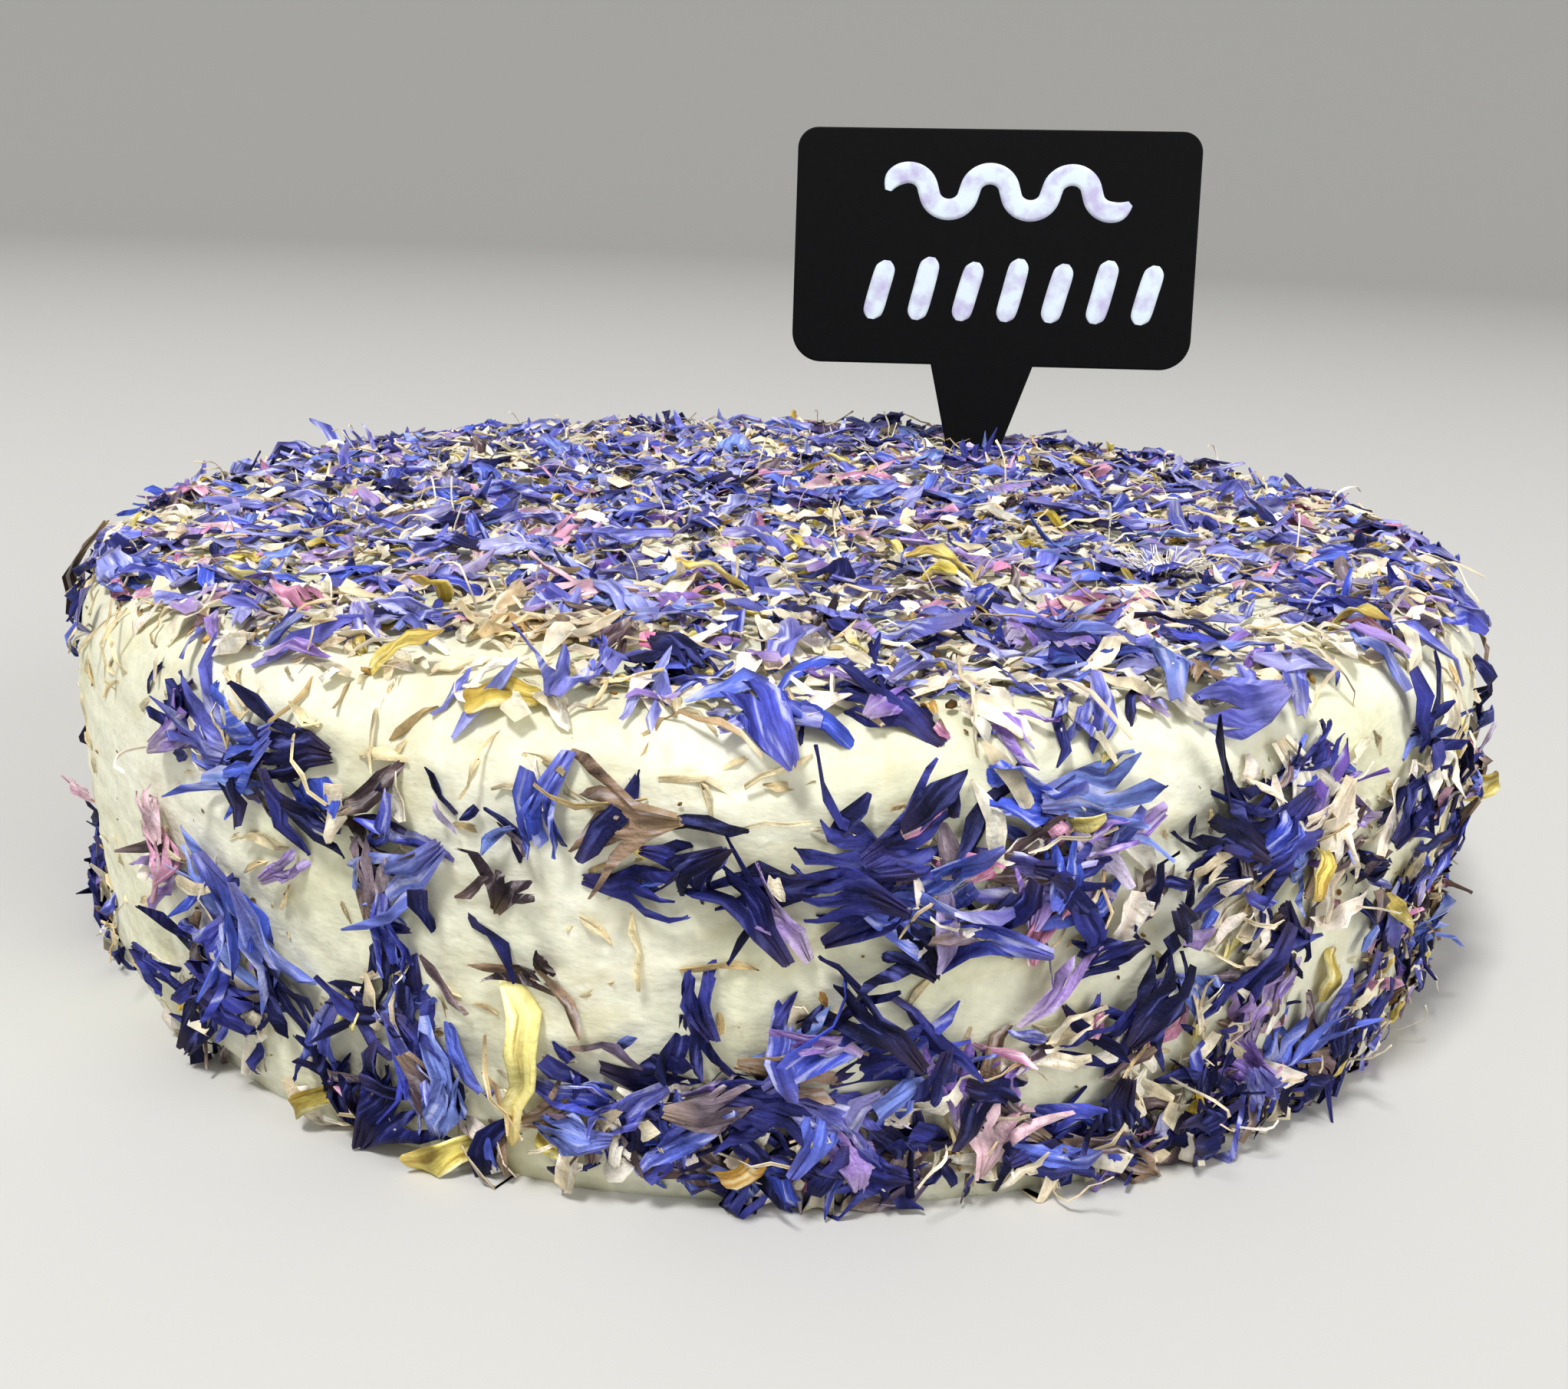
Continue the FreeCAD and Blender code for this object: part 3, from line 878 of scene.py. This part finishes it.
luck = default_rng(13)
laid = set_by_hand(PETALS, luck, [
    (2, -70.5, 44.5, 190, 0.95), (5, -89.5, 36.5, 130, 0.8), (4, -78, 17, 80, 0.9), (6, -84.5, 9, 100, 0.9),
    (3, -134, 24, 200, 0.9), (5, -73, 28, 60, 0.8), (2, -120, 33, 40, 0.7, 0.05), (1, -58, 20, 100, 0.9),
])
laid += strew(luck, FLORETS, (0.6, 1), top=50, side=22, right=6, keep_bare=0.1)
laid += strew(luck, BLADES, (0.4, 1), top=220, side=90, foot=4, right=14, keep_bare=0.1)
join_copies("violet_petals", violet_finish, laid)

luck = default_rng(14)
laid = set_by_hand(PETALS, luck, [
    (6, -132, 27.5, 100, 0.9), (10, -80.5, 42, 25, 0.9), (2, -74.5, 35, 70, 0.8), (4, -76, 11, 75),
    (3, -64.5, 19.5, 60, 0.7), (5, -66, 5.5, 190, 0.7), (9, -154, 23, 178, 0.9, 0.6),
    (6, -133.5, 33, 120, 0.7),
], [
    (0, 8, 20, 20, 1.1), (3, 2, 12, 190), (1, 14, 27, 10, 1.1), (4, -5, 26, 170), (2, -36, -14, 200),
    (1, -34, -24, 30), (0, 40, -58, 15, 1.1), (3, 34, -62, 200), (5, 27, 52, 5),
])
laid += strew(luck, FLORETS, (0.6, 1), top=24, side=12, right=4, keep_bare=0.1)
laid += strew(luck, BLADES, (0.35, 0.9), top=110, side=50, foot=4, right=22, keep_bare=0.1)
join_copies("pink_petals", pink_finish, laid)

luck = default_rng(15)
laid = set_by_hand(PETALS, luck, [
    (4, -98.5, 46, 200), (12, -106.5, 36, 35, 0.8, 0.05), (7, -104.5, 37, 60, 0.9),
    (7, -103, 27.5, 120, 0.8), (10, -101.5, 24.5, -50, 0.7, 0.05), (12, -105, 27, 170, 0.8),
    (0, -94, 7, 150), (3, -114, 38.5, -20, 0.8),
])
laid += strew(luck, FLORETS, (0.6, 1), top=24, side=46, foot=30, right=14, keep_bare=0.1)
laid += strew(luck, BLADES, (0.4, 1), top=100, side=190, foot=90, right=40, keep_bare=0.1)
join_copies("faded_petals", faded_finish, laid)


# ---- Bracts, straw and shreds ----
# The scales from under the flower head and its dry inner hairs come with the petals. They are papery,
# cream to straw coloured and shiny at the edges, and fill the gaps between the petals on the top.

SCALES = [
    shape_strip(6.5, 3.2, (0.5, 0.9, 1, 0.75, 0.2), 0.02, 110, 0.8, 20, 31, 4, thick=0.16, crumple=0.12),
    shape_strip(5, 2.8, (0.6, 1, 0.9, 0.35), 0.02, 80, 1, -20, 32, 4, thick=0.16, crumple=0.12),
    shape_strip(8, 2, (0.3, 0.8, 1, 0.7, 0.15), 0.15, 90, 0.9, 20, 33, crumple=0.12),
    shape_strip(4, 2.6, (0.5, 1, 0.8, 0.3), 0.1, 50, 1, 25, 34, crumple=0.12),
]
STRAWS = [
    shape_strip(8, 0.8, (0.7, 1, 0.9, 0.8, 0.4), 0.1, 200, 0.9, 25, 41, thick=0.16, crumple=0.08),
    shape_strip(5.5, 1, (0.5, 1, 0.9, 0.5), 0.15, 160, 0.8, -30, 42, thick=0.16, crumple=0.08),
    shape_strip(11, 0.6, (0.6, 1, 1, 0.9, 0.8, 0.3), 0.1, 180, 0.9, 35, 43, crumple=0.08),
]
cream_finish = petal_finish(
    "cream_scale",
    [(246, 240, 220), (238, 226, 194), (252, 248, 236), (230, 212, 176), (244, 232, 222), (250, 240, 206)],
    (232, 212, 170), (214, 190, 150), (255, 252, 240), vein_shade_share=0.4, roughness=0.45,
)
straw_finish = petal_finish(
    "straw",
    [(232, 214, 170), (214, 186, 134), (244, 234, 208), (190, 156, 108), (238, 224, 200)],
    (216, 192, 146), (158, 124, 82), (250, 240, 214), vein_shade_share=0.45, roughness=0.5,
)
luck = default_rng(16)
laid = set_by_hand(PETALS, luck, [
    (0, -55.5, 44, -70, 1.1), (4, -54, 40, 250), (1, -39, 44, 250, 1, 0.15), (3, -62, 33, 40, 0.9),
    (2, -72, 22, 200, 0.8),
])
laid += strew(luck, SCALES, (0.5, 1.15), top=1540, side=260, foot=260, right=90, lifted=50, keep_bare=0.5)
laid += strew(luck, BLADES, (0.4, 1.05), top=480, side=130, foot=130, right=80, keep_bare=0.5)
join_copies("cream_scales", cream_finish, laid)
laid = strew(luck, STRAWS, (0.6, 1.1), top=420, side=180, foot=80, right=40, lifted=14, keep_bare=0.5)
heap = luck.normal(size=(40, 2)) * (10 * MM, 5 * MM) + (-24 * MM, -72 * MM)
heap = np.concatenate([heap, np.zeros((40, 1))], axis=1)
laid += scatter(SCALES + BLADES, heap, luck, size=(0.5, 1.1), **PRESSED)
join_copies("straw_shreds", straw_finish, laid)


# ---- Thick yellow petals ----
# A few marigold petals and flower bases came with the mix. They are fleshier than the rest, dried to
# leathery curls of clear yellow, some of them amber and all amber towards the base. Their olive veins
# are partly painted shade in the creases.


def shape_curl(length, width, profile, roll, curl, thick, seed):
    """A leathery petal: a broad strip, rolled, curled, thickened and rounded. Lengths are in mm."""
    piece = lay_strip(3, strip_rows(length, width, profile), 0)
    crumple_up(0.2 * MM, seed)
    map_flat(piece)
    bend_round(piece, "length", roll)
    bend_round(piece, "width", curl)
    bake_in("SOLIDIFY", thickness=thick * MM, offset=0)
    bake_in("SUBSURF", levels=1, render_levels=1)
    return take_shape(piece)


CURLS = [
    shape_curl(11, 3.8, (0.5, 0.8, 1, 1, 0.7), 90, 60, 0.5, 51),
    shape_curl(7, 3.4, (0.8, 1, 1, 0.8), 60, 25, 0.65, 52),
    shape_curl(6, 3, (0.6, 1, 0.9, 0.5), 130, 80, 0.45, 53),
    shape_curl(14, 2.8, (0.35, 0.6, 0.8, 1, 1, 0.7), 120, 15, 0.6, 54),
]
yellow_finish = petal_finish(
    "yellow_petal",
    [(226, 208, 98), (214, 192, 76), (238, 228, 150), (198, 172, 78), (230, 216, 118), (200, 152, 72)],
    (206, 160, 92), (140, 108, 34), (250, 242, 192), vein_shade_share=0.8, roughness=0.5,
)
luck = default_rng(17)
laid = set_by_hand(CURLS, luck, [
    (3, -103.7, 16, 92, 1.5, 0.02), (1, -50, 19.5, 80), (1, -28, 33, -5, 1.2, 1.3), (1, -36, 43, 60, 1.1),
    (2, -119, 4.5, 20, 1.1, 0.05), (1, -133, 8, 60, 0.8, 0.05), (0, -109, 3.5, 10, 0.9, 0.05),
    (1, -102, 6, 170, 0.8, 0.05), (2, -90.5, 7, 40, 1.2, 0.05), (1, -115.5, 18, 95, 0.8, 0),
    (2, -62, 10, 60, 0.8), (1, -40, 16, 90, 0.8),
], [
    (0, -8, -55, 20), (2, 20, -50, 170, 1.2), (1, -28, -96, 5, 1.2, 0.05), (0, -40, -88, 200, 0.9, 0.05),
    (2, -66, -60, 60, 1.2), (2, 10, 40, 30, 1.2), (0, 22, -44, -20, 1, 0.15), (1, 78, -20, 40, 0.9),
])
laid += strew(luck, CURLS, (0.35, 0.8), top=120, side=34, foot=16, right=10, lifted=10, keep_bare=0.5)
join_copies("yellow_petals", yellow_finish, laid)


# ---- What lies in the paste ----
# The knife worked some slivers of straw into the skin, where the paste half covers them. They show as
# tan dashes, flush with the skin, on the side and along the rim.

SLIVERS = [
    shape_strip(length, width, profile, 0, 40, 1, 4, seed, thick=0.3, crumple=0.14)
    for length, width, profile, seed in (
        (6, 1.2, (0.2, 0.8, 1, 0.6, 0.1), 61),
        (4, 0.9, (0.3, 1, 0.8, 0.1), 62),
        (9, 0.8, (0.2, 1, 0.8, 1, 0.2), 63),
    )
]
sliver_finish = petal_finish(
    "tan_sliver",
    [(216, 198, 150), (230, 216, 176), (198, 172, 122), (236, 226, 192)],
    (216, 198, 152), (162, 132, 84), (236, 228, 192), vein_shade_share=0.5, roughness=0.5,
)
SUNKEN = {"rise": (-0.42, -0.12), "bow": (-3, 3), "pitch": 0.015}
luck = default_rng(18)
laid = set_by_hand(SLIVERS, luck, [
    (0, -122, 35, 5, 1.2, 0), (1, -123, 31.5, 20, 1, 0), (1, -120.5, 29, 70, 1, 0),
    (2, -97.2, 31, 95, 1, 0), (2, -92.5, 30, 5, 0.9, 0), (0, -99.5, 33, -40, 0.8, 0),
    (1, -112, 24, 40, 1, 0), (0, -113, 48, 5, 1.1, 0), (1, -119, 50, -10, 1.2, 0),
])
laid += scatter(SLIVERS, side_spots(300, luck, 1), luck, size=(0.5, 1.1), **SUNKEN)
laid += scatter(SLIVERS, top_spots(260, luck, 1), luck, size=(0.5, 1.1), **SUNKEN)
on_rim = side_spots(44, luck, 1, levels=(45, 55.6), bearings=(-152, -88))
laid += scatter(SLIVERS + STRAWS, on_rim, luck, size=(0.5, 1.1), **SUNKEN)
join_copies("sunk_slivers", sliver_finish, laid)


# ---- Threads, crumbs and down ----
# Stamens and torn veins lie about as pale curled threads. Between them are crumbs: brown flower hearts,
# golden pollen bits and chips of petal. One seed still wears its tuft of white down.

THREADS = [
    shape_strip(8, 0.26, (1, 1, 1, 1, 1, 1, 1, 0.6), 0, 0, 1, 100, 71, 1, thick=0.12, crumple=0.04),
    shape_strip(5, 0.26, (1, 1, 1, 1, 1, 0.6), 0, 0, 1, -70, 72, 1, thick=0.12, crumple=0.04),
]
luck = default_rng(19)
laid = strew(luck, THREADS, (0.6, 1.2), top=200, side=90, foot=30, right=20, lifted=20, keep_bare=0.3)
join_copies("pale_threads", cream_finish, laid)

bpy.ops.object.select_all(action="DESELECT")
CRUMBS = []
for seed, shares in ((81, (1, 1.3, 0.7)), (82, (0.8, 1.6, 0.6))):
    bpy.ops.mesh.primitive_ico_sphere_add(subdivisions=1, radius=0.6 * MM, calc_uvs=True)
    edit_all()
    bpy.ops.transform.resize(value=shares)
    crumple_up(0.14 * MM, seed)
    map_flat(bpy.context.object)
    CRUMBS.append(take_shape(bpy.context.object))
crumb_finish = petal_finish(
    "brown_crumb",
    [(92, 64, 38), (150, 110, 58), (190, 150, 78), (62, 44, 34), (206, 178, 120)],
    (140, 100, 60), (50, 34, 24), (214, 180, 110), vein_shade_share=0.5, roughness=0.6,
)
laid = strew(luck, CRUMBS, (0.4, 1.1), top=420, side=150, foot=90, right=60, keep_bare=0.4)
laid += scatter(CRUMBS, side_spots(260, luck, 1), luck, size=(0.22, 0.5), rise=(-0.1, 0))
laid += scatter(CRUMBS, top_spots(120, luck, 1), luck, size=(0.22, 0.5), rise=(-0.1, 0))
join_copies("crumbs", crumb_finish, laid)

HAIR = shape_strip(6.5, 0.16, (1, 1, 0.9, 0.4), 0, 0, 1, 8, 91, 1, crumple=0.06)
HAIRS = 56
GOLDEN_ANGLE = 2.399963
turns = np.arange(HAIRS) * GOLDEN_ANGLE
tuft = 3.2 * MM * np.stack([np.cos(turns), np.sin(turns), np.zeros(HAIRS)], axis=-1)
hairs = lay(
    HAIR, tuft + (52 * MM, -40 * MM, 0), turns, luck.uniform(0.8, 1.1, HAIRS),
    np.full(HAIRS, 2.6 * MM), luck.uniform(0, 10, HAIRS), luck.normal(0, 6, HAIRS),
    np.zeros(HAIRS), luck.uniform(0.15, 0.7, HAIRS), luck.uniform(0, 6, HAIRS),
)
down_finish = petal_finish(
    "white_down",
    [(250, 246, 236), (240, 232, 216)],
    (236, 222, 196), (226, 214, 194), (255, 253, 246), vein_shade_share=0.3,
)
join_copies("white_tuft", down_finish, [(HAIR, hairs, luck.integers(CELLS**2, size=HAIRS))])


# ---- The label pick ----
# A flat black plastic pick, moulded in one with its spike and pushed into the top of the wheel. It is
# matt all over, so that a chalk marker holds on it. It carries plain marker strokes: a wave over dashes.

PICK_BEARING = math.radians(61)
PICK_REACH = RADIUS - 23.4 * MM
PICK_TURN = math.radians(-5)
PICK_TILT = math.radians(-1.4)
PICK_BACK = math.radians(-9.5)
PLATE_FACE = -MM
STROKE_WIDTH = 4.3 * MM
STROKE_THICK = 0.3 * MM


def cloudy_finish(name, roughness, scale, detail, stops, strength, depth):
    """A finish whose colour and fine relief follow one cloudy noise, and its shader."""
    finish, tree, shader = new_finish(name, roughness)
    clouds = noise(tree, add_node(tree, "TexCoord").outputs["Object"], scale, detail)
    tree.links.new(tint(tree, clouds, stops), shader.inputs["Base Color"])
    tree.links.new(emboss(tree, clouds, strength, depth), shader.inputs["Normal"])
    return finish, shader


black_tones = [(0, (3, 3, 5)), (1, (10, 11, 13))]
black_plastic, black_shader = cloudy_finish("black_plastic", 0.6, 900, 3, black_tones, 0.25, 0.05 * MM)
black_shader.inputs["Specular IOR Level"].default_value = 0.1
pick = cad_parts["label_pick"]
pick.data.materials.clear()
pick.data.materials.append(black_plastic)

marker_tones = [(0.34, (196, 190, 226)), (0.56, (226, 240, 250))]
marker = cloudy_finish("marker_paint", 0.7, 260, 4, marker_tones, 0.4, 0.1 * MM)[0]

pick_stand = (
    Matrix.Translation((PICK_REACH * math.cos(PICK_BEARING), PICK_REACH * math.sin(PICK_BEARING), HEIGHT))
    @ Matrix.Rotation(PICK_TURN, 4, "Z")
    @ Matrix.Rotation(PICK_TILT, 4, "Y")
    @ Matrix.Rotation(PICK_BACK, 4, "X")
)


def draw_stroke(points):
    """A marker stroke through points across and up the plate, round at both ends."""
    line = bpy.data.curves.new("stroke", "CURVE")
    line.dimensions = "3D"
    line.bevel_depth = STROKE_WIDTH / 2
    line.bevel_resolution = 3
    line.resolution_u = 4
    line.use_fill_caps = True
    path = line.splines.new("NURBS")
    last = len(points) - 1
    path.points.add(last)
    for number, (across, up) in enumerate(points):
        path.points[number].co = (across * MM, 0, up * MM, 1)
        path.points[number].radius = {0: 0.3, 1: 0.85}.get(min(number, last - number), 1)
    path.order_u = 3
    path.use_endpoint_u = True
    stroke = bpy.data.objects.new("stroke", line)
    bpy.context.collection.objects.link(stroke)
    return stroke


wave = []
for hump in range(6):
    for step in range(6):
        turn = math.pi * step / 6
        wave.append((-16 + 8 * hump - 4 * math.cos(turn), 51.5 + (-1) ** hump * 3.6 * math.sin(turn)))
strokes = [draw_stroke(wave)]
for number in range(7):
    left = -22.5 + 8.8 * number
    high = 38 + 0.8 * (number % 2)
    dash = [(0, 26.6), (0.1, 27.3), (0.6, 28.8), (1.5, 32.5)]
    dash += [(2.4, high - 2.2), (2.8, high - 0.8), (2.9, high)]
    strokes.append(draw_stroke([(left + across, up) for across, up in dash]))
bpy.ops.object.select_all(action="DESELECT")
for stroke in strokes:
    stroke.select_set(True)
bpy.context.view_layer.objects.active = strokes[0]
bpy.ops.object.convert(target="MESH")
bpy.ops.object.join()
marks = bpy.context.object
marks.name = "marker_strokes"
edit_all()
bpy.ops.transform.resize(value=(1, STROKE_THICK / STROKE_WIDTH, 1), center_override=(0, 0, 0))
bpy.ops.transform.translate(value=(0, PLATE_FACE, 0))
bpy.ops.object.mode_set(mode="OBJECT")
marks.matrix_world = pick_stand
bpy.ops.object.transform_apply()
bpy.ops.object.shade_smooth()
marks.data.materials.clear()
marks.data.materials.append(marker)
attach(marks, "root")


low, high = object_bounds()
